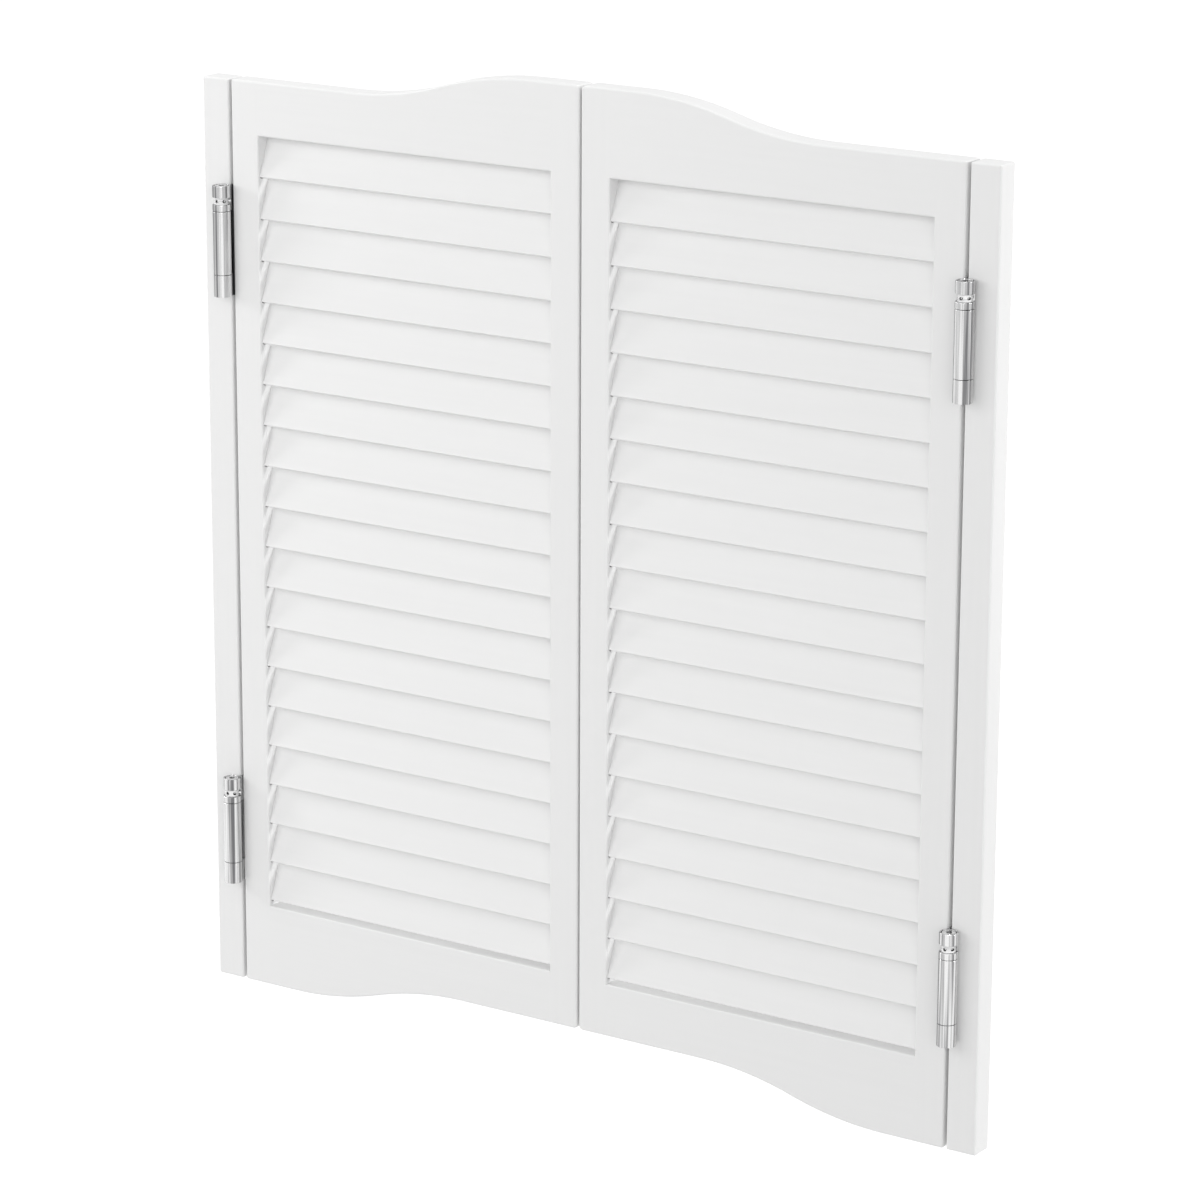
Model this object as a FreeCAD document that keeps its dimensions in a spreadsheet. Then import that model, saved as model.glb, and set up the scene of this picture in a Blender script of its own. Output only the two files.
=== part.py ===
"""A pair of louvred cafe doors on double-action spring hinges.

Axes: X across the doorway, Y through it (the louvres shed towards -Y, the front), Z up.
Origin: mid width and mid thickness, at the level of the foot of the hanging strips.
The left half is modelled; each right-hand piece is its mirror image in the plane X = 0.
"""

import FreeCAD, Part
import math
import os

import Sketcher

Vector = FreeCAD.Vector
UP = Vector(0, 0, 1)

document = FreeCAD.newDocument("CafeDoors")
sheet = document.addObject("Spreadsheet::Sheet", "Sizes")


class Size:
    """A length or angle that knows its value and the sheet expression behind it."""

    def __init__(self, value, text=None):
        self.value = float(value)
        self.text = text or repr(float(value))

    @staticmethod
    def of(thing):
        return thing if isinstance(thing, Size) else Size(thing)

    def __add__(self, other):
        other = Size.of(other)
        return Size(self.value + other.value, f"({self.text} + {other.text})")

    def __sub__(self, other):
        other = Size.of(other)
        return Size(self.value - other.value, f"({self.text} - {other.text})")

    def __mul__(self, other):
        other = Size.of(other)
        return Size(self.value * other.value, f"({self.text} * {other.text})")

    def __truediv__(self, other):
        other = Size.of(other)
        return Size(self.value / other.value, f"({self.text} / {other.text})")

    def __neg__(self):
        return Size(-self.value, f"(-1 * {self.text})")


def sine(angle):
    return Size(math.sin(math.radians(angle.value)), f"sin({angle.text} * 1 deg)")


def cosine(angle):
    return Size(math.cos(math.radians(angle.value)), f"cos({angle.text} * 1 deg)")


def cell(alias, value):
    """Store one driving dimension in the sheet and hand it back as a Size."""
    cell.row += 1
    sheet.set(f"A{cell.row}", alias.replace("_", " "))
    sheet.set(f"B{cell.row}", repr(value))
    sheet.setAlias(f"B{cell.row}", alias)
    return Size(value, f"Sizes.{alias}")


cell.row = 0

ZERO = Size(0)

# the small round pieces, of which there are many, are drawn with flats
COLLAR_SIDES = 24
PIN_SIDES = 8

# timber: two hanging strips and two framed doors
hang_height = cell("hang_height", 1066.8)
board_thickness = cell("board_thickness", 28.6)
strip_width = cell("strip_width", 36.0)
stile_width = cell("stile_width", 37.0)
rail_length = cell("rail_length", 395.5)
hinge_gap = cell("hinge_gap", 4.0)
meeting_gap = cell("meeting_gap", 2.6)
top_rail_height = cell("top_rail_height", 61.4)
bottom_rail_height = cell("bottom_rail_height", 97.5)
edge_ease = cell("edge_ease", 2.0)
corner_round = cell("corner_round", 5.0)

# the serpentine top and bottom: a level stretch at the meeting edge of the door, an S of
# two arcs, and a level shoulder on the rail beside the hinge stile
hump_rise = cell("hump_rise", 35.0)
hump_level = cell("hump_level", 64.0)
hump_shoulder = cell("hump_shoulder", 130.5)
arch_rise = cell("arch_rise", 36.0)
arch_level = cell("arch_level", 159.0)
arch_shoulder = cell("arch_shoulder", 35.5)

# mortise and tenon joints
tenon_length = cell("tenon_length", 20.0)
tenon_thickness = cell("tenon_thickness", 10.0)
tenon_shoulder = cell("tenon_shoulder", 8.0)
joint_clearance = cell("joint_clearance", 0.1)

# louvres, tilted from the vertical, with their ends housed in the stiles
louvre_count = cell("louvre_count", 19)
louvre_width = cell("louvre_width", 48.8)
louvre_thickness = cell("louvre_thickness", 7.5)
louvre_tilt = cell("louvre_tilt", 20.5)
louvre_chamfer = cell("louvre_chamfer", 1.0)
louvre_recess = cell("louvre_recess", 2.25)
louvre_top_gap = cell("louvre_top_gap", 0.3)
louvre_bottom_gap = cell("louvre_bottom_gap", 6.9)
housing_depth = cell("housing_depth", 6.0)

# spring hinges: three leaves on two barrels, one barrel on each side of the door
barrel_height = cell("barrel_height", 127.0)
barrel_radius = cell("barrel_radius", 10.4)
bore_radius = cell("bore_radius", 8.45)
barrel_offset = cell("barrel_offset", 5.5)
face_distance = cell("face_distance", 11.0)
leaf_thickness = cell("leaf_thickness", 1.0)
leaf_reach = cell("leaf_reach", 12.8)
top_knuckle = cell("top_knuckle", 29.0)
bottom_knuckle = cell("bottom_knuckle", 25.0)
seam = cell("seam", 0.3)
upper_hinge_drop = cell("upper_hinge_drop", 119.3)
lower_hinge_lift = cell("lower_hinge_lift", 123.0)

# the window in each top knuckle, which shows the tension collar
window_drop = cell("window_drop", 13.5)
window_height = cell("window_height", 8.0)
window_angle = cell("window_angle", 266.0)

# the tension collar inside each top knuckle, and the pin that locks it
running_clearance = cell("running_clearance", 0.05)
rim_depth = cell("rim_depth", 0.5)
key_flats = cell("key_flats", 5.0)
key_depth = cell("key_depth", 4.0)
pin_flats = cell("pin_flats", 3.7)
pin_hole_depth = cell("pin_hole_depth", 4.5)
pin_hole_count = cell("pin_hole_count", 6)
pin_proud = cell("pin_proud", 0.4)
pin_angle = 120

document.recompute()

# places worked out from the sizes above
door_width = stile_width * 2 + rail_length
half_width = strip_width + hinge_gap + door_width + meeting_gap / 2
half_thickness = board_thickness / 2
opening_top = hang_height - top_rail_height
strip_x = -half_width
hinge_x = strip_x + strip_width + hinge_gap / 2
door_x = strip_x + strip_width + hinge_gap
meeting_stile_x = door_x + stile_width + rail_length

axis_y = half_thickness + face_distance
tube_low = bottom_knuckle + seam
knuckle_low = barrel_height - top_knuckle
tube_high = knuckle_low - seam
window_top = barrel_height - window_drop
window_low = window_top - window_height
pin_level = window_low + window_height / 2
hinge_levels = {
    "upper": hang_height - upper_hinge_drop - barrel_height,
    "lower": lower_hinge_lift,
}

louvre_rise = louvre_width * cosine(louvre_tilt)
louvre_row = (
    opening_top - louvre_top_gap - louvre_rise - bottom_rail_height - louvre_bottom_gap
)
first_louvre = bottom_rail_height + louvre_bottom_gap


# ---------------------------------------------------------------- modelling helpers
def origin_item(body, role):
    """One of the body's own origin planes or axes."""
    return next(item for item in body.Origin.OriginFeatures if item.Role == role)


def new_body(label):
    body = document.addObject("PartDesign::Body", label)
    body.Label = label
    return body


def place(body, x, y, z, turn=0):
    """Put a body at a point, turned about the vertical by an angle in degrees."""
    body.Placement = FreeCAD.Placement(Vector(), FreeCAD.Rotation(UP, turn))
    for axis, size in zip("xyz", (x, y, z)):
        body.setExpression(f"Placement.Base.{axis}", size.text)
    return body


def new_sketch(body, plane, name, offset=(ZERO, ZERO, ZERO)):
    """A sketch on an origin plane, shifted along the plane's own x, y and normal."""
    sketch = body.newObject("Sketcher::SketchObject", name)
    sketch.AttachmentSupport = [(origin_item(body, plane), "")]
    sketch.MapMode = "FlatFace"
    for axis, size in zip("xyz", offset):
        sketch.setExpression(f"AttachmentOffset.Base.{axis}", size.text)
    return sketch


def bind(sketch, kind, *where, size):
    """Add a dimension to a sketch and tie it to the sheet."""
    index = sketch.addConstraint(Sketcher.Constraint(kind, *where, size.value))
    sketch.setExpression(f"Constraints[{index}]", size.text)


def bind_point(sketch, geometry, point, x, y):
    bind(sketch, "DistanceX", -1, 1, geometry, point, size=x)
    bind(sketch, "DistanceY", -1, 1, geometry, point, size=y)


def outline(sketch, corners, arcs=None):
    """Close a loop of lines through the corners.

    arcs maps an edge's number to (centre x, centre y, radius, turns left), for an edge
    that is an arc rather than a line.
    """
    arcs = arcs or {}
    flat = [Vector(x.value, y.value, 0) for x, y in corners]
    ends = []
    for i, start in enumerate(flat):
        end = flat[(i + 1) % len(flat)]
        if i not in arcs:
            sketch.addGeometry(Part.LineSegment(start, end), False)
            ends.append((1, 2))
            continue
        centre_x, centre_y, radius, left = arcs[i]
        centre = Vector(centre_x.value, centre_y.value, 0)
        first, last = (start, end) if left else (end, start)
        angles = [math.atan2(p.y - centre.y, p.x - centre.x) for p in (first, last)]
        circle = Part.Circle(centre, UP, radius.value)
        sketch.addGeometry(Part.ArcOfCircle(circle, *angles), False)
        ends.append((1, 2) if left else (2, 1))
    for i, (start, end) in enumerate(ends):
        after = (i + 1) % len(ends)
        sketch.addConstraint(Sketcher.Constraint("Coincident", i, end, after, ends[after][0]))
        bind_point(sketch, i, start, *corners[i])
        if i in arcs:
            bind(sketch, "DistanceX", -1, 1, i, 3, size=arcs[i][0])
    return sketch


def rectangle(sketch, x0, y0, x1, y1):
    return outline(sketch, [(x0, y0), (x1, y0), (x1, y1), (x0, y1)])


def circles(sketch, centres, *radii):
    """Concentric circles about each centre."""
    for x, y in centres:
        for radius in radii:
            circle = Part.Circle(Vector(x.value, y.value, 0), UP, radius.value)
            index = sketch.addGeometry(circle, False)
            bind_point(sketch, index, 3, x, y)
            bind(sketch, "Radius", index, size=radius)
    return sketch


def polygon(sketch, y, flats, sides):
    """A regular polygon about (0, y), so many millimetres across its flats."""
    step = 180 / sides
    reach = flats / (cosine(Size(step)) * 2)
    turns = [Size(step * (2 * i + 1)) for i in range(sides)]
    return outline(sketch, [(reach * cosine(t), y + reach * sine(t)) for t in turns])


def pad(body, sketch, length, symmetric=False):
    feature = body.newObject("PartDesign::Pad", sketch.Name + "Pad")
    feature.Profile = sketch
    feature.SideType = "Symmetric" if symmetric else "One side"
    feature.setExpression("Length", length.text)
    return feature


def pocket(body, sketch, depth=None, reverse=False):
    """Cut a sketch into the body: to a depth, or right through when there is none."""
    feature = body.newObject("PartDesign::Pocket", sketch.Name + "Pocket")
    feature.Profile = sketch
    feature.Reversed = reverse
    if depth is None:
        feature.Type = "ThroughAll"
        feature.SideType = "Symmetric"
    else:
        feature.setExpression("Length", depth.text)
    return feature


def revolve(body, kind, sketch, angle=None):
    """Turn a sketch about its own upright axis, or a part turn about its middle."""
    feature = body.newObject(f"PartDesign::{kind}", sketch.Name + kind)
    feature.Profile = sketch
    feature.ReferenceAxis = (sketch, ["V_Axis"])
    if angle is not None:
        feature.Midplane = True
        feature.setExpression("Angle", angle.text)
    return feature


def dress(body, kind, base, size, wanted):
    """Fillet or chamfer those edges of a feature that the test picks."""
    document.recompute()
    names = [f"Edge{i + 1}" for i, edge in enumerate(base.Shape.Edges) if wanted(edge)]
    feature = body.newObject(f"PartDesign::{kind}", base.Name + kind)
    feature.Base = (base, names)
    feature.setExpression("Radius" if kind == "Fillet" else "Size", size.text)
    return feature


def row(body, feature, count, length):
    """Repeat a feature upwards, the copies spread over a length."""
    document.recompute()
    pattern = body.newObject("PartDesign::LinearPattern", feature.Name + "Row")
    pattern.Originals = [feature]
    pattern.Direction = (origin_item(body, "Z_Axis"), [""])
    pattern.setExpression("Length", length.text)
    pattern.setExpression("Occurrences", count.text)
    body.Tip = pattern
    return pattern


def ring_of(body, feature, count):
    """Repeat a feature round the body's upright axis."""
    document.recompute()
    pattern = body.newObject("PartDesign::PolarPattern", feature.Name + "Ring")
    pattern.Originals = [feature]
    pattern.Axis = (origin_item(body, "Z_Axis"), [""])
    pattern.Angle = 360
    pattern.setExpression("Occurrences", count.text)
    body.Tip = pattern
    return pattern


def near(a, b):
    return abs(a - b) < 0.01


def on_face_edge(edge):
    """True for an edge that lies in the front or the back face of a board."""
    box = edge.BoundBox
    return near(box.YMin, box.YMax) and near(abs(box.YMin), half_thickness.value)


def away_from_joint(joint_x):
    """Picks the face edges of a board, apart from those along its joint."""

    def wanted(edge):
        box = edge.BoundBox
        at_joint = near(box.XMin, joint_x.value) and near(box.XMax, joint_x.value)
        return on_face_edge(edge) and not at_joint

    return wanted


# ---------------------------------------------------------------- timber
def louvre_corners(lift, margin, chamfer):
    """The tilted section of a louvre in Y and Z, grown by a margin, its corners cut."""
    along_y, along_z = sine(louvre_tilt), cosine(louvre_tilt)

    def point(along, across):
        y = -half_thickness + louvre_recess + along_y * along + along_z * across
        return (y, lift + along_z * along - along_y * across)

    low, high = -margin, louvre_width + margin
    front, back = -margin, louvre_thickness + margin
    if chamfer is None:
        return [point(low, back), point(high, back), point(high, front), point(low, front)]
    return [
        point(low, front + chamfer),
        point(low, back - chamfer),
        point(low + chamfer, back),
        point(high - chamfer, back),
        point(high, back - chamfer),
        point(high, front + chamfer),
        point(high - chamfer, front),
        point(low + chamfer, front),
    ]


def tenon_spans():
    """The lower and upper level of the bottom rail's tenons and of the top rail's."""
    return {
        "bottom": (arch_rise + tenon_shoulder, bottom_rail_height - tenon_shoulder),
        "top": (opening_top + tenon_shoulder, hang_height - tenon_shoulder),
    }


def mortises(body, face_x, reverse):
    """The rail mortises and louvre housings in the inner face of a stile."""
    half = tenon_thickness / 2 + joint_clearance
    for end, (low, high) in tenon_spans().items():
        sketch = new_sketch(body, "YZ_Plane", f"{end.title()}Mortise", (ZERO, ZERO, face_x))
        rectangle(sketch, -half, low - joint_clearance, half, high + joint_clearance)
        pocket(body, sketch, tenon_length + joint_clearance, reverse)
    sketch = new_sketch(body, "YZ_Plane", "Housing", (ZERO, ZERO, face_x))
    outline(sketch, louvre_corners(first_louvre, joint_clearance, None))
    housing = pocket(body, sketch, housing_depth + joint_clearance, reverse)
    row(body, housing, louvre_count, louvre_row)


def hanging_strip():
    body = new_body("left_hanging_strip")
    board = new_sketch(body, "XZ_Plane", "StripBoard")
    rectangle(board, ZERO, ZERO, strip_width, hang_height)
    blank = pad(body, board, board_thickness, symmetric=True)
    dress(body, "Chamfer", blank, edge_ease, on_face_edge)
    return place(body, strip_x, ZERO, ZERO)


def hinge_stile():
    """The full-height stile that carries the hinges."""
    body = new_body("left_hinge_stile")
    board = new_sketch(body, "XZ_Plane", "HingeStileBoard")
    rectangle(board, ZERO, ZERO, stile_width, hang_height)
    blank = pad(body, board, board_thickness, symmetric=True)
    dress(body, "Chamfer", blank, edge_ease, away_from_joint(stile_width))
    mortises(body, stile_width, False)
    return place(body, door_x, ZERO, ZERO)


def meeting_stile():
    """The stile at the middle of the doorway, which runs from the arch to the hump."""
    body = new_body("left_meeting_stile")
    board = new_sketch(body, "XZ_Plane", "MeetingStileBoard")
    rectangle(board, ZERO, arch_rise, stile_width, hang_height + hump_rise)
    blank = pad(body, board, board_thickness, symmetric=True)

    def is_end_corner(edge):
        box = edge.BoundBox
        return near(box.XMin, stile_width.value) and near(box.ZMin, box.ZMax)

    rounded = dress(body, "Fillet", blank, corner_round, is_end_corner)
    dress(body, "Chamfer", rounded, edge_ease, away_from_joint(ZERO))
    mortises(body, ZERO, True)
    return place(body, meeting_stile_x, ZERO, ZERO)


def serpentine(shoulder, level, low, high):
    """The S-curve of a rail, from low beside its shoulder to high where it is level again.

    Returns its three corners in climbing order, and its two arcs as outline takes them,
    each without the direction in which it is drawn.
    """
    run = rail_length + stile_width - level - shoulder
    rise = high - low
    radius = (run * run + rise * rise) / (rise * 4)
    end_x = shoulder + run
    corners = [(shoulder, low), (shoulder + run / 2, low + rise / 2), (end_x, high)]
    return corners, [(shoulder, low + radius, radius), (end_x, high - radius, radius)]


def add_tenons(body, low, high):
    """One board through the rail's length makes the tenon at each end."""
    sketch = new_sketch(body, "XZ_Plane", body.Label.title().replace("_", "") + "Tenon")
    rectangle(sketch, -tenon_length, low, rail_length + tenon_length, high)
    pad(body, sketch, tenon_thickness, symmetric=True)


def top_rail():
    body = new_body("left_top_rail")
    crest = hang_height + hump_rise
    curve, arcs = serpentine(hump_shoulder, hump_level, hang_height, crest)
    (foot, middle, head), (lower, upper) = curve, arcs
    corners = [(ZERO, opening_top), (rail_length, opening_top), (rail_length, crest)]
    corners += [head, middle, foot, (ZERO, hang_height)]
    board = new_sketch(body, "XZ_Plane", "TopRailBoard")
    outline(board, corners, {3: (*upper, True), 4: (*lower, False)})
    blank = pad(body, board, board_thickness, symmetric=True)

    def on_top(edge):
        return on_face_edge(edge) and edge.BoundBox.ZMin > hang_height.value - 0.01

    dress(body, "Chamfer", blank, edge_ease, on_top)
    add_tenons(body, *tenon_spans()["top"])
    return place(body, door_x + stile_width, ZERO, ZERO)


def bottom_rail():
    body = new_body("left_bottom_rail")
    curve, arcs = serpentine(arch_shoulder, arch_level, ZERO, arch_rise)
    (foot, middle, head), (lower, upper) = curve, arcs
    corners = [(ZERO, ZERO), foot, middle, head, (rail_length, arch_rise)]
    corners += [(rail_length, bottom_rail_height), (ZERO, bottom_rail_height)]
    board = new_sketch(body, "XZ_Plane", "BottomRailBoard")
    outline(board, corners, {1: (*lower, True), 2: (*upper, False)})
    blank = pad(body, board, board_thickness, symmetric=True)

    def on_bottom(edge):
        return on_face_edge(edge) and edge.BoundBox.ZMax < arch_rise.value + 0.01

    dress(body, "Chamfer", blank, edge_ease, on_bottom)
    add_tenons(body, *tenon_spans()["bottom"])
    return place(body, door_x + stile_width, ZERO, ZERO)


def louvres():
    """The row of tilted slats, each a solid of its own."""
    body = new_body("left_louvres")
    section = new_sketch(body, "YZ_Plane", "LouvreSection", (ZERO, ZERO, -housing_depth))
    outline(section, louvre_corners(first_louvre, ZERO, louvre_chamfer))
    slat = pad(body, section, rail_length + housing_depth * 2)
    row(body, slat, louvre_count, louvre_row)
    return place(body, door_x + stile_width, ZERO, ZERO)


# ---------------------------------------------------------------- hinges
def outer_leaf(label):
    """The leaf on the hanging strip: a plate and the long middle tube of the front barrel.

    The door's leaf is the same piece turned half round about the middle of the gap.
    """
    body = new_body(label)
    plate_x = -hinge_gap / 2
    tube = new_sketch(body, "XY_Plane", "Tube", (ZERO, ZERO, tube_low))
    circles(tube, [(-barrel_offset, -axis_y)], barrel_radius)
    pad(body, tube, tube_high - tube_low)
    plate = new_sketch(body, "YZ_Plane", "Plate", (ZERO, ZERO, plate_x))
    outline(
        plate,
        [
            (-leaf_reach, ZERO),
            (leaf_reach, ZERO),
            (leaf_reach, barrel_height),
            (-leaf_reach, barrel_height),
            (-leaf_reach, tube_high),
            (-axis_y, tube_high),
            (-axis_y, tube_low),
            (-leaf_reach, tube_low),
        ],
    )
    pad(body, plate, leaf_thickness)
    return body


def middle_leaf(label):
    """The leaf that joins the barrels: a plate with a knuckle at each of its corners."""
    body = new_body(label)
    axes = [(-barrel_offset, -axis_y), (barrel_offset, axis_y)]
    spans = {"Low": (ZERO, bottom_knuckle), "High": (knuckle_low, top_knuckle)}
    for name, (foot, height) in spans.items():
        sketch = new_sketch(body, "XY_Plane", f"{name}Knuckle", (ZERO, ZERO, foot))
        circles(sketch, axes, barrel_radius)
        pad(body, sketch, height)
    plate = new_sketch(body, "YZ_Plane", "Plate", (ZERO, ZERO, -leaf_thickness / 2))
    outline(
        plate,
        [
            (-axis_y, ZERO),
            (axis_y, ZERO),
            (axis_y, bottom_knuckle),
            (leaf_reach, bottom_knuckle),
            (leaf_reach, knuckle_low),
            (axis_y, knuckle_low),
            (axis_y, barrel_height),
            (-axis_y, barrel_height),
            (-axis_y, knuckle_low),
            (-leaf_reach, knuckle_low),
            (-leaf_reach, bottom_knuckle),
            (-axis_y, bottom_knuckle),
        ],
    )
    pad(body, plate, leaf_thickness)
    bores = new_sketch(body, "XY_Plane", "Bore", (ZERO, ZERO, knuckle_low))
    circles(bores, axes, bore_radius)
    pocket(body, bores, top_knuckle, True)
    window = new_sketch(body, "YZ_Plane", "Window", (-axis_y, ZERO, -barrel_offset))
    outside, inside = barrel_radius + leaf_thickness, bore_radius - leaf_thickness
    rectangle(window, -outside, window_low, -inside, window_top)
    cut = revolve(body, "Groove", window, window_angle)
    ring_of(body, cut, Size(2))
    return body


def tension_collar(label):
    """The collar that winds the spring, with a key socket on top and pin holes round it."""
    body = new_body(label)
    radius = bore_radius - running_clearance
    crown = barrel_height - rim_depth
    turned = new_sketch(body, "XY_Plane", "Collar", (ZERO, ZERO, knuckle_low))
    polygon(turned, ZERO, radius * cosine(Size(180 / COLLAR_SIDES)) * 2, COLLAR_SIDES)
    pad(body, turned, crown - knuckle_low)
    socket = new_sketch(body, "XY_Plane", "Key", (ZERO, ZERO, crown))
    pocket(body, polygon(socket, ZERO, key_flats, 6), key_depth)
    hole = new_sketch(body, "XZ_Plane", "PinHole", (ZERO, ZERO, radius))
    polygon(hole, pin_level, pin_flats + running_clearance * 2, PIN_SIDES)
    ring_of(body, pocket(body, hole, pin_hole_depth), pin_hole_count)
    return body


def tension_pin(label):
    """The pin that stands in a collar hole and bears on the end of the window."""
    body = new_body(label)
    foot = bore_radius - pin_hole_depth
    section = new_sketch(body, "XZ_Plane", "PinSection", (ZERO, ZERO, foot))
    polygon(section, pin_level, pin_flats, PIN_SIDES)
    pad(body, section, barrel_radius + pin_proud - foot)
    return body


def hinge(level):
    """One spring hinge of the left door, with the collar and pin of each barrel."""
    foot = hinge_levels[level]
    name = f"left_{level}"
    pieces = [place(middle_leaf(f"{name}_middle_leaf"), hinge_x, ZERO, foot)]
    for leaf, barrel, side, turn in (("jamb", "front", -1, 0), ("door", "rear", 1, 180)):
        x, y = hinge_x + barrel_offset * side, axis_y * side
        pieces.append(place(outer_leaf(f"{name}_{leaf}_leaf"), hinge_x, ZERO, foot, turn))
        pieces.append(place(tension_collar(f"{name}_{barrel}_collar"), x, y, foot, turn))
        pin = tension_pin(f"{name}_{barrel}_pin")
        pieces.append(place(pin, x, y, foot, turn + pin_angle))
    return pieces


def mirrored(piece):
    """The right-hand twin of a left-hand piece."""
    twin = document.addObject("Part::Mirroring", piece.Label.replace("left", "right"))
    twin.Label = piece.Label.replace("left", "right")
    twin.Source = piece
    twin.Normal = Vector(1, 0, 0)
    twin.Base = Vector()
    return twin


def check(pieces):
    """Stop if any object failed, any cut removed nothing, or any shape is unsound."""
    for item in document.Objects:
        if "Invalid" in item.State or "Error" in item.State:
            raise RuntimeError(f"{item.Label} failed: {item.State}")
        if item.TypeId in ("PartDesign::Pocket", "PartDesign::Hole", "PartDesign::Groove"):
            if item.Shape.Volume > item.BaseFeature.Shape.Volume - 0.01:
                raise RuntimeError(f"{item.Label} cuts nothing")
    for piece in pieces:
        if piece.Shape.isNull() or not piece.Shape.isValid():
            raise RuntimeError(f"{piece.Label} has no sound shape")


def main():
    left = [hanging_strip(), hinge_stile(), meeting_stile(), top_rail(), bottom_rail()]
    left.append(louvres())
    for level in hinge_levels:
        left += hinge(level)
    document.recompute()
    pieces = left + [mirrored(piece) for piece in left]
    document.recompute()
    check(pieces)
    os.makedirs("parts", exist_ok=True)
    for piece in pieces:
        piece.Shape.exportStep(os.path.join("parts", piece.Label + ".step"))
    print(f"{len(pieces)} pieces written")


main()
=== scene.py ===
"""Looks for a pair of louvred cafe doors on double-action spring hinges.

Lengths are in metres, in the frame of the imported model: X across the doorway, Y from the
front to the back, Z up.
"""

import logging
import math
from dataclasses import dataclass, field
from enum import Enum
from typing import Callable, Iterable, Optional, Sequence

import bpy
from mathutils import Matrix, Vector


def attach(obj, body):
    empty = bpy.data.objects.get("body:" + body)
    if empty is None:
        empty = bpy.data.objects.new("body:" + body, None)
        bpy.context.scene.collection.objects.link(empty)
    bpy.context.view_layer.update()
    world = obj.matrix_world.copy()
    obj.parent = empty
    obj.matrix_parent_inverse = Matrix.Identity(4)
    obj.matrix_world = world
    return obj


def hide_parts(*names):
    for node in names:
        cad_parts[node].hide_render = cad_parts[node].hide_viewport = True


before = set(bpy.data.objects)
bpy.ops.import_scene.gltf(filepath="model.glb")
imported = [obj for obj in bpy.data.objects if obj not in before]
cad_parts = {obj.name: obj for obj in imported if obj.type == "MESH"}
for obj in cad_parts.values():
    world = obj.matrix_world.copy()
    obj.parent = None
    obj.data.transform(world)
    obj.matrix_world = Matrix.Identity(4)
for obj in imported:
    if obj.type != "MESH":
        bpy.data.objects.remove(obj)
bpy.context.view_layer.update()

log = logging.getLogger("cafe_doors")

Piece = bpy.types.Object
Material = bpy.types.Material
Tree = bpy.types.NodeTree
Node = bpy.types.Node
Pair = tuple[float, float]
Point = tuple[float, float, float]
Colour = tuple[float, float, float, float]
Socket = int | str
Wire = tuple[Node, Socket, Node, Socket]
Element = bpy.types.MeshEdge | bpy.types.MeshPolygon
Choice = Callable[[Vector, Vector], bool]

SHARP = 35.0      # degrees between two faces from which their edge counts as sharp
CURVED = 40.0     # the same for the shading of round steel
TOUCHING = 1e-5   # metres within which two places count as one
FACING = 0.9      # part of a normal along a direction from which a face counts as facing it
UP = (0, 0, 1)


class Side(Enum):
    """The half of the pair a piece belongs to."""

    LEFT = "left"
    RIGHT = "right"


class Level(Enum):
    """Which of a door's two hinges."""

    UPPER = "upper"
    LOWER = "lower"


class Barrel(Enum):
    """The barrel of a hinge, by the face of the door that it stands in front of."""

    FRONT = "front"
    REAR = "rear"


# ---------------------------------------------------------------- mesh helpers
def leave_edit() -> None:
    """Go back to object mode."""
    bpy.ops.object.mode_set(mode="OBJECT")


def deselect_all() -> None:
    """Go to object mode with nothing selected."""
    if bpy.context.object and bpy.context.object.mode != "OBJECT":
        leave_edit()
    bpy.ops.object.select_all(action="DESELECT")


def activate(piece: Piece) -> None:
    """Make one object the only selected and the active one.

    Args:
        piece: The object.
    """
    deselect_all()
    piece.select_set(True)
    bpy.context.view_layer.objects.active = piece


def primitive(name: str, operator: Callable[..., object], **settings: object) -> Piece:
    """Add a primitive shape and move its place into its mesh.

    Args:
        name: The piece's name.
        operator: The operator that adds it.
        **settings: The operator's own settings.

    Returns:
        The object, at the origin, unturned and unscaled.
    """
    deselect_all()
    operator(**settings)
    piece = bpy.context.object
    piece.name = name
    piece.data.name = name
    bpy.ops.object.transform_apply(location=True, rotation=True, scale=True)
    return piece


def cuboid(name: str, low: Point, high: Point) -> Piece:
    """Add a box between two corners.

    Args:
        name: The piece's name.
        low: The corner with the lowest coordinates.
        high: The corner with the highest coordinates.

    Returns:
        The box.
    """
    middle = [(a + b) / 2 for a, b in zip(low, high)]
    size = [b - a for a, b in zip(low, high)]
    return primitive(name, bpy.ops.mesh.primitive_cube_add, size=1, location=middle,
                     scale=size)


def pick(piece: Piece, kind: str, wanted: Callable[[Element], bool]) -> None:
    """Select some of a mesh's edges or faces, and enter edit mode.

    Args:
        piece: The object, left in edit mode.
        kind: EDGE or FACE.
        wanted: Which of them to take.
    """
    activate(piece)
    mesh = piece.data
    for part in (mesh.vertices, mesh.edges, mesh.polygons):
        part.foreach_set("select", [False] * len(part))
    for element in mesh.edges if kind == "EDGE" else mesh.polygons:
        element.select = wanted(element)
    bpy.ops.object.mode_set(mode="EDIT")
    bpy.ops.mesh.select_mode(type=kind)


def pick_faces(piece: Piece, wanted: Choice) -> None:
    """Pick faces by their middle and normal."""
    pick(piece, "FACE", lambda face: wanted(face.center, face.normal))


def pick_edges(piece: Piece, wanted: Choice) -> None:
    """Pick edges by their two ends."""
    points = piece.data.vertices
    pick(piece, "EDGE", lambda edge: wanted(*(points[i].co for i in edge.vertices)))


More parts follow.
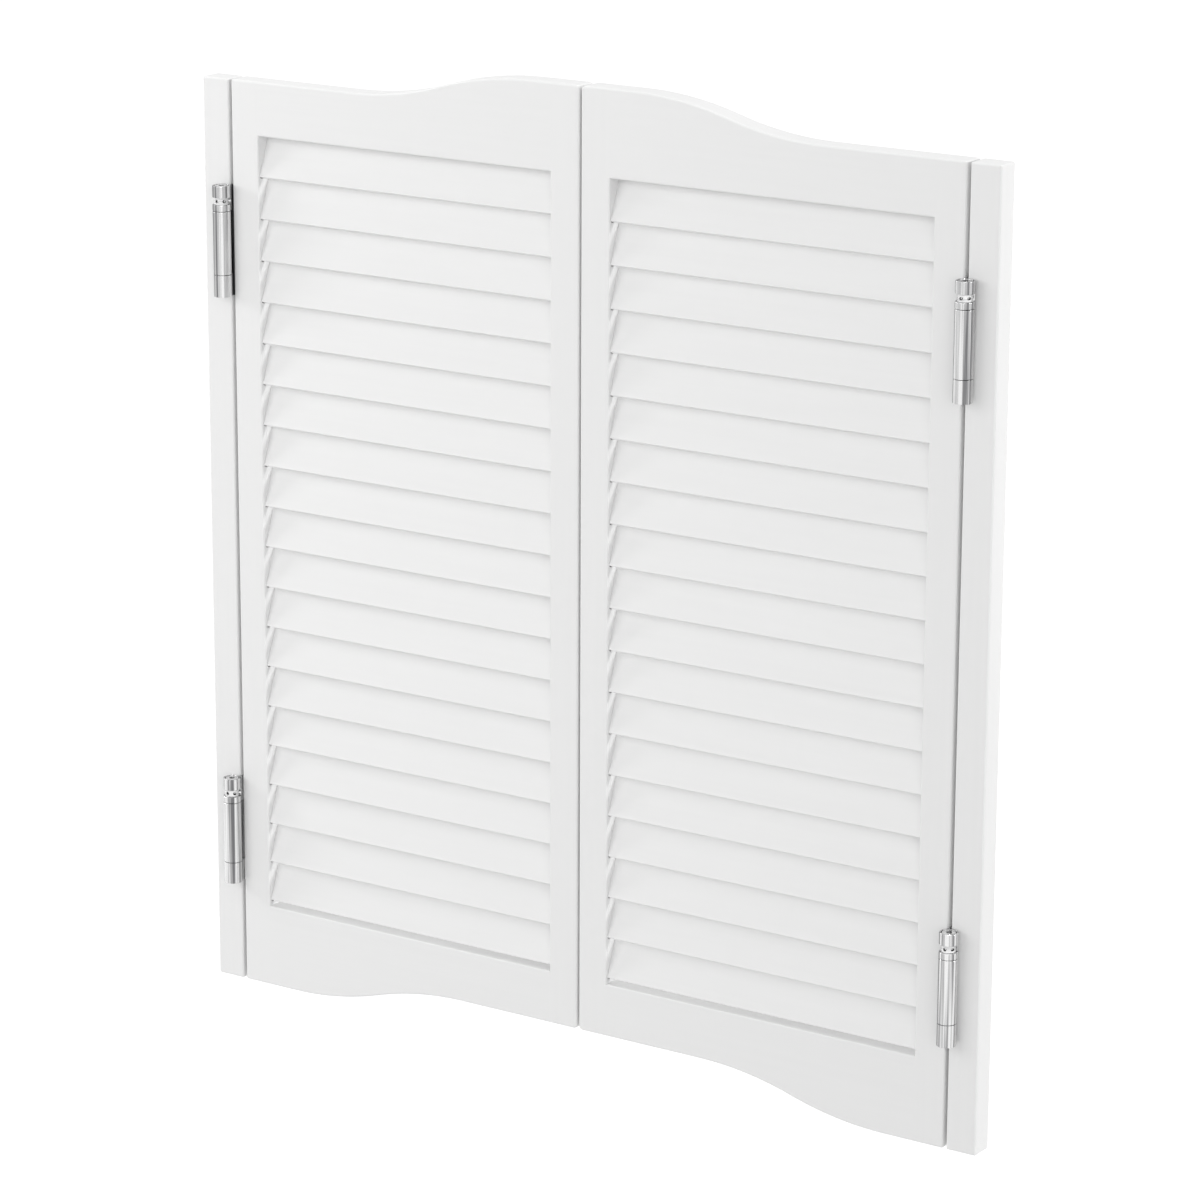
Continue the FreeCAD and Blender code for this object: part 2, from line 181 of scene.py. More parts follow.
def pick_sharp_edges(piece: Piece, wanted: Choice) -> None:
    """Pick the edges at which two faces meet sharply.

    Args:
        piece: The object, left in edit mode.
        wanted: Which of them to take, told by their two ends.
    """
    faces: dict[tuple[int, int], list[Vector]] = {}
    for face in piece.data.polygons:
        for key in face.edge_keys:
            faces.setdefault(key, []).append(face.normal.copy())
    points = piece.data.vertices
    sharp = {
        key for key, (one, other) in faces.items()
        if one.angle(other) > math.radians(SHARP)
        and wanted(points[key[0]].co, points[key[1]].co)}
    pick(piece, "EDGE", lambda edge: tuple(sorted(edge.vertices)) in sharp)


def extrude(shift: Point) -> None:
    """Draw the picked faces out by a shift."""
    bpy.ops.mesh.extrude_region_move(TRANSFORM_OT_translate={"value": shift})


def bevel_picked(radius: float, segments: int) -> None:
    """Round the picked edges and go back to object mode."""
    bpy.ops.mesh.bevel(offset=radius, segments=segments, affect="EDGES")
    leave_edit()


def edit_whole(piece: Piece, operator: Callable[..., object], **settings: object) -> None:
    """Apply an edit-mode operator to all of a piece.

    Args:
        piece: The object.
        operator: The operator.
        **settings: The operator's own settings.
    """
    activate(piece)
    bpy.ops.object.mode_set(mode="EDIT")
    bpy.ops.mesh.select_all(action="SELECT")
    operator(**settings)
    leave_edit()


def score(piece: Piece, levels: Iterable[float]) -> None:
    """Cut a line round a piece at each of some levels, keeping it whole."""
    for level in levels:
        edit_whole(piece, bpy.ops.mesh.bisect, plane_co=(0, 0, level), plane_no=UP)


def apply_modifier(piece: Piece, kind: str, **settings: object) -> None:
    """Add a modifier and apply it at once.

    Args:
        piece: The object to change.
        kind: The modifier's type.
        **settings: The modifier's own settings.
    """
    activate(piece)
    modifier = piece.modifiers.new(kind.title(), kind)
    for name, value in settings.items():
        setattr(modifier, name, value)
    bpy.ops.object.modifier_apply(modifier=modifier.name)


def round_edges(piece: Piece, radius: float, segments: int = 3) -> None:
    """Round every sharp edge of a piece."""
    apply_modifier(piece, "BEVEL", width=radius, segments=segments, limit_method="ANGLE",
                   angle_limit=math.radians(SHARP), use_clamp_overlap=True)


def cut(piece: Piece, tools: Iterable[Piece]) -> None:
    """Cut tool shapes out of a piece and remove the tools.

    Args:
        piece: The object to cut.
        tools: The shapes to take away from it.
    """
    for tool in tools:
        apply_modifier(piece, "BOOLEAN", operation="DIFFERENCE", object=tool, solver="EXACT")
        bpy.data.objects.remove(tool)


def smooth(piece: Piece, angle: float = 30) -> None:
    """Shade a piece smooth, apart from edges sharper than an angle in degrees."""
    activate(piece)
    bpy.ops.object.shade_smooth_by_angle(angle=math.radians(angle))


def copy_of(piece: Piece, name: str, operator: Callable[..., object],
            **settings: object) -> Piece:
    """A copy with its own mesh, moved by an edit-mode operator.

    Args:
        piece: The object to copy.
        name: The name of the copy.
        operator: The operator.
        **settings: The operator's own settings.

    Returns:
        The copy.
    """
    twin = piece.copy()
    twin.data = piece.data.copy()
    twin.name = name
    twin.data.name = name
    bpy.context.scene.collection.objects.link(twin)
    edit_whole(twin, operator, **settings)
    return twin


def mirrored(piece: Piece, name: str) -> Piece:
    """The mirror image of a piece in the plane X = 0, its faces still outwards.

    Args:
        piece: The object to copy.
        name: The name of the copy.

    Returns:
        The mirror image.
    """
    twin = copy_of(piece, name, bpy.ops.transform.resize, value=(-1, 1, 1),
                   center_override=(0, 0, 0))
    edit_whole(twin, bpy.ops.mesh.flip_normals)
    return twin


def turned(piece: Piece, name: str, centre: Point) -> Piece:
    """A copy turned half round about the upright line through a point."""
    return copy_of(piece, name, bpy.ops.transform.rotate, value=-math.pi, orient_axis="Z",
                   center_override=centre)


def gather(parts: Sequence[Piece], name: str) -> Piece:
    """Put separate shapes, such as a set of screws, into one object.

    Args:
        parts: The shapes, the first of which takes in the others.
        name: The name of the whole.

    Returns:
        The one object.
    """
    deselect_all()
    for part in parts:
        part.select_set(True)
    bpy.context.view_layer.objects.active = parts[0]
    bpy.ops.object.join()
    parts[0].name = name
    parts[0].data.name = name
    return parts[0]


# ---------------------------------------------------------------- shared shader effects
def grey(level: float) -> Colour:
    """A neutral colour."""
    return (level, level, level, 1)


class Nodes:
    """A node tree being filled in."""

    def __init__(self, tree: Tree) -> None:
        """Start from an empty tree."""
        self.tree = tree
        tree.nodes.clear()

    def add(self, kind: str, **settings: object) -> Node:
        """Add a node.

        Args:
            kind: The node's type, without the ShaderNode prefix.
            **settings: The node's own properties, such as a group's tree, and then values
                of its inputs, with underscores for the spaces in their names.

        Returns:
            The node.
        """
        prefix = "" if kind.startswith("NodeGroup") else "ShaderNode"
        node = self.tree.nodes.new(prefix + kind)
        for name, value in settings.items():
            if hasattr(node, name):
                setattr(node, name, value)
            else:
                node.inputs[name.replace("_", " ")].default_value = value
        return node

    def wire(self, *wires: Wire) -> None:
        """Join outputs to inputs.

        Args:
            *wires: For each, the node and the output that it comes from and the node and
                the input that it goes to, with sockets told by name or number.
        """
        for source, outlet, target, inlet in wires:
            self.tree.links.new(source.outputs[outlet], target.inputs[inlet])


def new_material(name: str) -> tuple[Material, Nodes]:
    """Make an empty material.

    Args:
        name: Its name.

    Returns:
        The material and its nodes.
    """
    material = bpy.data.materials.new(name)
    material.use_nodes = True
    return material, Nodes(material.node_tree)


def new_group(name: str, inputs: dict[str, object],
              outputs: dict[str, str]) -> tuple[Nodes, Node, Node]:
    """Make a shader group with named sockets and nothing between them.

    Args:
        name: The group's name.
        inputs: Default value by name: a number, a direction or a colour.
        outputs: Socket type by name.

    Returns:
        Its nodes, its input node and its output node.
    """
    group = bpy.data.node_groups.new(name, "ShaderNodeTree")
    kinds = {3: "NodeSocketVector", 4: "NodeSocketColor"}
    for label, default in inputs.items():
        kind = kinds[len(default)] if isinstance(default, tuple) else "NodeSocketFloat"
        socket = group.interface.new_socket(label, in_out="INPUT", socket_type=kind)
        socket.default_value = default
    for label, kind in outputs.items():
        group.interface.new_socket(label, in_out="OUTPUT", socket_type=kind)
    nodes = Nodes(group)
    return nodes, nodes.add("NodeGroupInput"), nodes.add("NodeGroupOutput")


def streak_group() -> Tree:
    """Noise drawn out along one direction: wood grain, brush marks or turning marks, and on
    brushed steel painted reflections.

    Returns:
        A group that takes how many streaks there are to a metre along X, Y and Z, how
        fine they are and how sharp, and gives a mask.
    """
    nodes, inlet, outlet = new_group(
        "streaks",
        {"Per Metre": (100.0, 100.0, 10.0), "Fineness": 3.0, "Dark": 0.3, "Bright": 0.7},
        {"Mask": "NodeSocketFloat"})
    place = nodes.add("TexCoord")
    stretch = nodes.add("VectorMath", operation="MULTIPLY")
    noise = nodes.add("TexNoise", Scale=1.0, Roughness=0.55)
    level = nodes.add("MapRange")
    nodes.wire((place, "Object", stretch, 0), (inlet, "Per Metre", stretch, 1),
               (stretch, 0, noise, "Vector"), (inlet, "Fineness", noise, "Detail"),
               (noise, "Fac", level, "Value"), (inlet, "Dark", level, "From Min"),
               (inlet, "Bright", level, "From Max"), (level, "Result", outlet, "Mask"))
    return nodes.tree


def blend_group() -> Tree:
    """Two tones and two roughnesses chosen between by a mask.

    Returns:
        A group that takes a mask, a low and a high colour and a low and a high
        roughness, and gives a colour and a roughness.
    """
    nodes, inlet, outlet = new_group(
        "two_tones",
        {"Mask": 0.5, "Low Colour": grey(0.5), "High Colour": grey(0.8),
         "Low Roughness": 0.3, "High Roughness": 0.5},
        {"Colour": "NodeSocketColor", "Roughness": "NodeSocketFloat"})
    tone = nodes.add("Mix", data_type="RGBA")
    factor, first, second, blended = 0, 6, 7, 2  # a mix of colours' sockets by number
    rough = nodes.add("MapRange")
    nodes.wire((inlet, "Mask", tone, factor), (inlet, "Low Colour", tone, first),
               (inlet, "High Colour", tone, second), (inlet, "Mask", rough, "Value"),
               (inlet, "Low Roughness", rough, "To Min"),
               (inlet, "High Roughness", rough, "To Max"), (tone, blended, outlet, "Colour"),
               (rough, "Result", outlet, "Roughness"))
    return nodes.tree


def skin_group() -> Tree:
    """The fine unevenness of a brushed coat of paint over planed wood.

    Returns:
        A group that takes a grain mask and how much each part counts, and gives a height.
    """
    nodes, inlet, outlet = new_group(
        "paint_skin",
        {"Grain": 0.5, "Grain Depth": 0.6, "Ripples Per Metre": 260.0, "Ripple Depth": 0.4},
        {"Height": "NodeSocketFloat"})
    place = nodes.add("TexCoord")
    ripple = nodes.add("TexNoise", Detail=2.0, Roughness=0.5)
    ripple_part = nodes.add("Math", operation="MULTIPLY")
    grain_part = nodes.add("Math", operation="MULTIPLY")
    total = nodes.add("Math", operation="ADD")
    nodes.wire((place, "Object", ripple, "Vector"),
               (inlet, "Ripples Per Metre", ripple, "Scale"), (ripple, "Fac", ripple_part, 0),
               (inlet, "Ripple Depth", ripple_part, 1), (inlet, "Grain", grain_part, 0),
               (inlet, "Grain Depth", grain_part, 1), (ripple_part, 0, total, 0),
               (grain_part, 0, total, 1), (total, 0, outlet, "Height"))
    return nodes.tree


class Effects:
    """The shader groups that the finishes share, each made once."""

    def __init__(self) -> None:
        """Make the groups."""
        self.streaks = streak_group()
        self.two_tones = blend_group()
        self.paint_skin = skin_group()


# ---------------------------------------------------------------- the finishes
class Grain(Enum):
    """The way the grain of a painted board runs, as streaks to a metre along X, Y and Z."""

    UPRIGHT = (170.0, 170.0, 5.0)
    ACROSS = (5.0, 170.0, 170.0)


@dataclass(frozen=True)
class Finish:
    """A surface whose tone and roughness follow fine marks, so many to a metre each way."""

    name: str
    marks: Point
    low: Colour
    high: Colour
    dark: float
    bright: float
    roughest: float
    smoothest: float
    relief: float
    depth: float

    def make(self, effects: Effects) -> Material:
        """Make the material.

        Args:
            effects: The shared groups.

        Returns:
            The material.
        """
        material, nodes = new_material(self.name)
        marks = nodes.add("Group", node_tree=effects.streaks, Per_Metre=self.marks,
                          Fineness=3.0, Dark=self.dark, Bright=self.bright)
        tones = nodes.add("Group", node_tree=effects.two_tones, Low_Colour=self.low,
                          High_Colour=self.high, Low_Roughness=self.roughest,
                          High_Roughness=self.smoothest)
        bump = nodes.add("Bump", Strength=self.relief, Distance=self.depth)
        surface = self.surface(nodes)
        out = nodes.add("OutputMaterial")
        height, label = self.height(nodes, effects, marks)
        nodes.wire((marks, "Mask", tones, "Mask"), (tones, "Colour", surface, "Base Color"),
                   (tones, "Roughness", surface, "Roughness"),
                   (height, label, bump, "Height"), (bump, "Normal", surface, "Normal"),
                   (surface, "BSDF", out, "Surface"))
        return material

    def surface(self, nodes: Nodes) -> Node:
        """Add the shader, which is metal unless a finish says otherwise."""
        return nodes.add("BsdfPrincipled", Metallic=1.0)

    def height(self, nodes: Nodes, effects: Effects, marks: Node) -> tuple[Node, str]:
        """The output that gives the relief, which is the marks' own."""
        return marks, "Mask"


@dataclass(frozen=True)
class WhitePaint(Finish):
    """Satin white paint on planed wood."""

    low: Colour = (0.801, 0.801, 0.799, 1)
    high: Colour = (0.809, 0.809, 0.807, 1)
    dark: float = 0.3
    bright: float = 0.7
    roughest: float = 0.46
    smoothest: float = 0.38
    relief: float = 0.08
    depth: float = 0.0004

    def surface(self, nodes: Nodes) -> Node:
        """Add the shader of a coat of paint."""
        return nodes.add("BsdfPrincipled", Specular_IOR_Level=0.42)

    def height(self, nodes: Nodes, effects: Effects, marks: Node) -> tuple[Node, str]:
        """The unevenness of the coat over the grain.

        Args:
            nodes: The material's nodes.
            effects: The shared groups.
            marks: The node that gives the grain.

        Returns:
            The node that gives it and the name of its output.
        """
        skin = nodes.add("Group", node_tree=effects.paint_skin, Grain_Depth=0.5,
                         Ripples_Per_Metre=240.0, Ripple_Depth=0.5)
        nodes.wire((marks, "Mask", skin, "Grain"))
        return skin, "Height"


@dataclass(frozen=True)
class Steel(Finish):
    """Steel with the marks of its brushing or turning; on brushed steel its streaks are also
    painted reflection.
    """

    # Dark and bright tones far apart: on the brushed barrels the streaks paint reflections, a
    # dark stripe and bright bands, besides the brush marks.
    low: Colour = (0.16, 0.16, 0.165, 1)
    high: Colour = grey(0.78)
    dark: float = 0.36
    bright: float = 0.62
    roughest: float = 0.34
    smoothest: float = 0.20
    relief: float = 0.35
    depth: float = 0.00003


class Finishes:
    """Every finish of the doors, made once."""

    def __init__(self) -> None:
        """Make the shared effects and the materials."""
        effects = Effects()
        self.upright_paint = WhitePaint(
            "white_paint_upright", Grain.UPRIGHT.value).make(effects)
        self.across_paint = WhitePaint("white_paint_across", Grain.ACROSS.value).make(effects)
        # Upright streaks: brush marks, plus a painted reflection of dark and bright bands
        # down the barrels.
        self.brushed_and_reflections = Steel("brushed_steel", (270.0, 270.0, 3.0)).make(effects)
        self.turned = Steel("turned_steel", (40.0, 40.0, 1500.0),
                            low=(0.45, 0.45, 0.455, 1), high=grey(0.88)).make(effects)
        self.screw = Steel("screw_steel", (500.0, 500.0, 500.0)).make(effects)
        # Near black, for the spindle: painted shade at the bottom of the pin holes.
        self.hole_shade_black = Steel("blackened_steel", (200.0, 200.0, 200.0),
                           low=grey(0.01), high=grey(0.02)).make(effects)


def fit(piece: Piece, body: str, finish: Material,
        node: Optional[str] = None) -> None:
    """Give a piece its finish and its place in the model.

    Args:
        piece: The finished mesh.
        body: The moving body that it rides on.
        finish: Its material.
        node: The solid that it stands for, if it stands for one.
    """
    piece.data.materials.clear()
    piece.data.materials.append(finish)
    apply_modifier(piece, "WEIGHTED_NORMAL", keep_sharp=True)
    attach(piece, body)
    if node:
        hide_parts(node)
    log.info("%s on %s", piece.name, body)


# ---------------------------------------------------------------- the joinery
@dataclass
class Joinery:
    """Sizes that every painted board shares, for the left-hand door."""

    front: float = -0.0143
    back: float = 0.0143
    opening: Pair = (0.0975, 1.0054)
    edge_radius: float = 0.0023
    opening_radius: float = 0.0020
    edge_flats: int = 4
    joint_margin: float = 0.0025
    long_edge: float = 0.1

    def board(self, name: str, low: Pair, high: Pair, *joints: float) -> Piece:
        """Make an upright board with its edges eased, apart from where rails join it.

        Args:
            name: The piece's name.
            low: X and Z of its lowest corner.
            high: X and Z of its highest corner.
            *joints: X of each face that the rails meet.

        Returns:
            The board.
        """
        board = cuboid(name, (low[0], self.front, low[1]), (high[0], self.back, high[1]))
        if joints:
            score(board, self.opening)
        self.ease(board, *joints)
        return board

    def ease(self, board: Piece, *joints: float) -> None:
        """Round a board's outer edges and leave those in a joint's plane square.

        Args:
            board: The board.
            *joints: X of each face that another board joins.
        """
        def at_joint(a: Vector, b: Vector, reach: float = TOUCHING) -> bool:
            """Whether both ends of an edge lie within a reach of a joint's plane."""
            return any(abs(a.x - joint) < reach and abs(b.x - joint) < reach
                       for joint in joints)

        def round_opening(a: Vector, b: Vector) -> bool:
            """Whether an edge borders the louvres.

            Args:
                a: One end of the edge.
                b: Its other end.

            Returns:
                True where the louvres' opening begins at the edge.
            """
            low, high = sorted((a.z, b.z))
            upright = high - low > self.long_edge and at_joint(a, b)
            along = high - low < TOUCHING and not at_joint(a, b) and len(joints) > 1
            inside = low > self.opening[0] - TOUCHING and high < self.opening[1] + TOUCHING
            return inside and (upright or along)

        def outside(a: Vector, b: Vector) -> bool:
            """Whether an edge is clear of the joints and of the opening."""
            return not at_joint(a, b, self.joint_margin) and not round_opening(a, b)

        for radius, wanted in ((self.opening_radius, round_opening),
                               (self.edge_radius, outside)):
            pick_sharp_edges(board, wanted)
            bevel_picked(radius, self.edge_flats)
        for joint in joints:
            self.crease(board, joint)
        smooth(board)

    def crease(self, board: Piece, joint: float) -> None:
        """Keep the shading of a board's flat faces apart where a rounded edge ends.

        Args:
            board: The board.
            joint: X of the face that another board joins.
        """
        low, high = self.opening
        ends = [Vector((joint, y, z)) for y in (self.front, self.back)
                for z in (low - self.opening_radius, high + self.opening_radius)]
        pick_edges(board, lambda a, b: any(
            min((a - end).length, (b - end).length) < TOUCHING for end in ends))
        bpy.ops.mesh.mark_sharp()
        leave_edit()

    @staticmethod
    def hang(board: Piece, body: str, paint: Material, node: str) -> None:
        """Finish a left-hand board and make its right-hand twin.

        Args:
            board: The left-hand board.
            body: The body that it rides on, with {side} for its side.
            paint: Its material.
            node: The name of the solid that it stands for, after its side.
        """
        twin = mirrored(board, board.name.replace("left", "right"))
        for side, piece in zip(Side, (board, twin)):
            fit(piece, body.format(side=side.value), paint,
                f"{side.value}_{node}")


@dataclass
class HangingStrip(Joinery):
    """The narrow board that is fixed to the doorway and carries the hinges."""

    outer: float = -0.5108
    inner: float = -0.4748
    height: float = 1.0668

    def build(self, finishes: Finishes) -> None:
        """Make both strips."""
        strip = self.board("left_strip_board", (self.outer, 0), (self.inner, self.height))
        self.hang(strip, "hanging_strips", finishes.upright_paint, "hanging_strip")


@dataclass
class Serpentine:
    """An S-curve of two equal arcs between two levels."""

    start: float
    end: float
    first: float
    last: float
    steps: int = 28

    def level(self, x: float) -> float:
        """The curve's level at a place along the rail.

        Args:
            x: The place.

        Returns:
            The level.
        """
        if x <= self.start:
            return self.first
        if x >= self.end:
            return self.last
        half, climb = (self.end - self.start) / 2, (self.last - self.first) / 2
        radius = (half ** 2 + climb ** 2) / (2 * abs(climb))

        def drop(along: float) -> float:
            """How far an arc has left its level at a distance from where it begins."""
            return math.copysign(radius - math.sqrt(radius ** 2 - along ** 2), climb)

        if x <= self.start + half:
            return self.first + drop(x - self.start)
        return self.last - drop(self.end - x)

    def stations(self, finish: float) -> list[float]:
        """X of each place after the first at which the rail's shape turns, and its end."""
        step = (self.end - self.start) / self.steps
        return [self.start + step * i for i in range(1, self.steps + 1)] + [finish]


@dataclass
class LouvredDoor(Joinery):
    """A door: two stiles, two shaped rails and a row of tilted louvres."""

    hinge_edge: float = -0.4708
    hinge_joint: float = -0.4338
    meeting_joint: float = -0.0383
    meeting_edge: float = -0.0013
    shoulder: float = 1.0668
    hump: float = 1.1018
    arch: float = 0.036
    corner_radius: float = 0.005
    corner_flats: int = 8
    louvres: int = 19
    louvre_pitch: float = 0.0475
    louvre_width: float = 0.0488
    louvre_thickness: float = 0.0075
    louvre_tilt: float = math.radians(20.5)
    louvre_corner: Pair = (-0.01205, 0.1044)
    louvre_rim: float = 0.0012
    louvre_flats: int = 4
    housing: float = 0.006
    housing_room: Point = (0.0005, 0.0003, 0.0022)
    housing_mouth: float = 0.001
    housing_round: float = 0.46
    housing_flats: int = 6
    top_curve: Serpentine = field(
        default_factory=lambda: Serpentine(-0.3033, -0.0653, 1.0668, 1.1018))
    foot_curve: Serpentine = field(
        default_factory=lambda: Serpentine(-0.3983, -0.1603, 0.0, 0.036))

    def tilted_bar(self, name: str, ends: Sequence[float], thickness: float,
                   width: float) -> Piece:
        """Add a bar lying along the lowest louvre.

        Args:
            name: The piece's name.
            ends: X of its two ends.
            thickness: Its size through the louvre.
            width: Its size across the louvre.

        Returns:
            The bar.
        """
        up, out, tilt = self.louvre_width / 2, self.louvre_thickness / 2, self.louvre_tilt
        y = self.louvre_corner[0] + up * math.sin(tilt) + out * math.cos(tilt)
        z = self.louvre_corner[1] + up * math.cos(tilt) - out * math.sin(tilt)
        return primitive(name, bpy.ops.mesh.primitive_cube_add, size=1,
                         location=((ends[0] + ends[1]) / 2, y, z), rotation=(-tilt, 0, 0),
                         scale=(ends[1] - ends[0], thickness, width))

    def repeat(self, bar: Piece) -> Piece:
        """Repeat a bar, in the same object, at every louvre's level.

        Args:
            bar: A bar at the level of the lowest louvre.

        Returns:
            The same object, with all its bars.
        """
        apply_modifier(bar, "ARRAY", count=self.louvres, use_relative_offset=False,
                       use_constant_offset=True,
                       constant_offset_displace=(0, 0, self.louvre_pitch))
        return bar

    def slats(self) -> Piece:
        """Make the row of louvres, their long edges rounded.

        Returns:
            The louvres, as one object.
        """
        ends = (self.hinge_joint - self.housing, self.meeting_joint + self.housing)
        slat = self.tilted_bar("left_louvre_slats", ends, self.louvre_thickness,
                               self.louvre_width)
        round_edges(slat, self.louvre_rim, self.louvre_flats)
        smooth(slat)
        return self.repeat(slat)

    def house(self, stile: Piece, joint: float, inward: int) -> None:
        """Cut the round-ended housings for the louvres into a stile.

        Args:
            stile: The stile.
            joint: X of the face that they are cut into.
            inward: 1 where the opening lies at higher X, -1 where it lies at lower X.
        """
        deeper, thicker, wider = self.housing_room
        ends = sorted((joint + inward * self.housing_mouth,
                       joint - inward * (self.housing + deeper)))
        tool = self.tilted_bar("housings", ends, self.louvre_thickness + thicker,
                               self.louvre_width + wider)
        pick_sharp_edges(tool, lambda a, b: abs(a.x - b.x) > self.housing)
        bevel_picked(self.louvre_thickness * self.housing_round, self.housing_flats)
        cut(stile, [self.repeat(tool)])
        smooth(stile)

    def hinge_stile(self) -> Piece:
        """Make the stile that carries the hinges.

        Returns:
            The stile.
        """
        stile = self.board("left_hinge_stile_board", (self.hinge_edge, 0),
                           (self.hinge_joint, self.shoulder), self.hinge_joint)
        self.house(stile, self.hinge_joint, 1)
        return stile

    def meeting_stile(self) -> Piece:
        """Make the stile at the middle of the doorway, its two end corners rounded.

        Returns:
            The stile.
        """
        stile = cuboid("left_meeting_stile_board",
                       (self.meeting_joint, self.front, self.arch),
                       (self.meeting_edge, self.back, self.hump))
        score(stile, self.opening)
        pick_sharp_edges(stile, lambda a, b: abs(a.y - b.y) > self.back
                         and abs(a.x - self.meeting_edge) < TOUCHING)
        bevel_picked(self.corner_radius, self.corner_flats)
        self.ease(stile, self.meeting_joint)
        self.house(stile, self.meeting_joint, -1)
        return stile

    def rail(self, name: str, curve: Serpentine, level: float) -> Piece:
        """Make a rail with one straight and one serpentine edge.

        Args:
            name: The piece's name.
            curve: The shape of its outer edge.
            level: The level of its straight edge.

        Returns:
            The rail.
        """
        low, high = sorted((curve.first, level))
        rail = cuboid(name, (self.hinge_joint, self.front, low),
                      (curve.start, self.back, high))
        pick_faces(rail, lambda centre, normal: normal.x > FACING)
        x, edge = curve.start, curve.first
        for place in curve.stations(self.meeting_joint):
            target = curve.level(place)
            extrude((place - x, 0, 0))
            bpy.ops.transform.resize(value=(1, 1, (target - level) / (edge - level)),
                                     center_override=(place, 0, level))
            x, edge = place, target
        leave_edit()
        self.ease(rail, self.hinge_joint, self.meeting_joint)
        return rail

    def build(self, finishes: Finishes) -> None:
        """Make both doors.

        Args:
            finishes: The materials.
        """
        upright, across = finishes.upright_paint, finishes.across_paint
        foot, head = self.opening
        for piece, node, paint in (
                (self.hinge_stile(), "hinge_stile", upright),
                (self.meeting_stile(), "meeting_stile", upright),
                (self.rail("left_top_rail_board", self.top_curve, head), "top_rail", across),
                (self.rail("left_bottom_rail_board", self.foot_curve, foot),
                 "bottom_rail", across),
                (self.slats(), "louvres", across)):
            self.hang(piece, "{side}_door", paint, node)


# ---------------------------------------------------------------- the hinges
def ease_steel(piece: Piece, radius: float, segments: int = 3) -> Piece:
    """Round the sharp edges of a turned piece and shade the rest smooth.

    Args:
        piece: The object.
        radius: How far the rounding reaches.
        segments: Flats round an edge.

    Returns:
        The same object.
    """
    round_edges(piece, radius, segments)
    smooth(piece, CURVED)
    return piece


@dataclass(frozen=True)
class Screw:
    """A countersunk screw with a cross slot. It lies along X with its head at higher X."""

    sides: int = 32
    radii: Pair = (0.0014, 0.0034)
    head: float = 0.0020
    shank: float = 0.014
    point: float = 0.006
    taper: float = 0.1
    slot_sizes: Pair = (0.0009, 0.0038)
    slot_span: Pair = (0.0004, 0.0020)
    hole_radii: Pair = (0.0016, 0.00375)
    hole_depth: float = 0.0024
    hole_rise: float = 0.0003

    def cone(self, place: Point, radii: Pair, length: float) -> Piece:
        """Add a cone along X.

        Args:
            place: The middle of its length.
            radii: Its radii at its lower and at its higher X.
            length: Its length.

        Returns:
            The cone.
        """
        return primitive("cone", bpy.ops.mesh.primitive_cone_add, vertices=self.sides,
                         radius1=radii[0], radius2=radii[1], depth=length, location=place,
                         rotation=(0, math.pi / 2, 0))

    def hole(self, place: Point) -> Piece:
        """The shape to cut out of a leaf for a screw whose head's middle is at a place."""
        x, y, z = place
        return self.cone((x + self.hole_rise, y, z), self.hole_radii, self.hole_depth)

    def make(self, place: Point) -> Piece:
        """Make a screw.

        Args:
            place: The middle of its head.

        Returns:
            The screw.
        """
        x, y, z = place
        screw = self.cone(place, self.radii, self.head)
        pick_faces(screw, lambda centre, normal: normal.x < -FACING)
        extrude((-self.shank, 0, 0))
        extrude((-self.point, 0, 0))
        end = x - self.head / 2 - self.shank - self.point
        bpy.ops.transform.resize(value=(1, self.taper, self.taper),
                                 center_override=(end, y, z))
        leave_edit()
        low, high = (x + reach for reach in self.slot_span)
        cut(screw, [cuboid("slot", (low, y - a / 2, z - b / 2), (high, y + a / 2, z + b / 2))
                    for a, b in (self.slot_sizes, self.slot_sizes[::-1])])
        smooth(screw)
        return screw


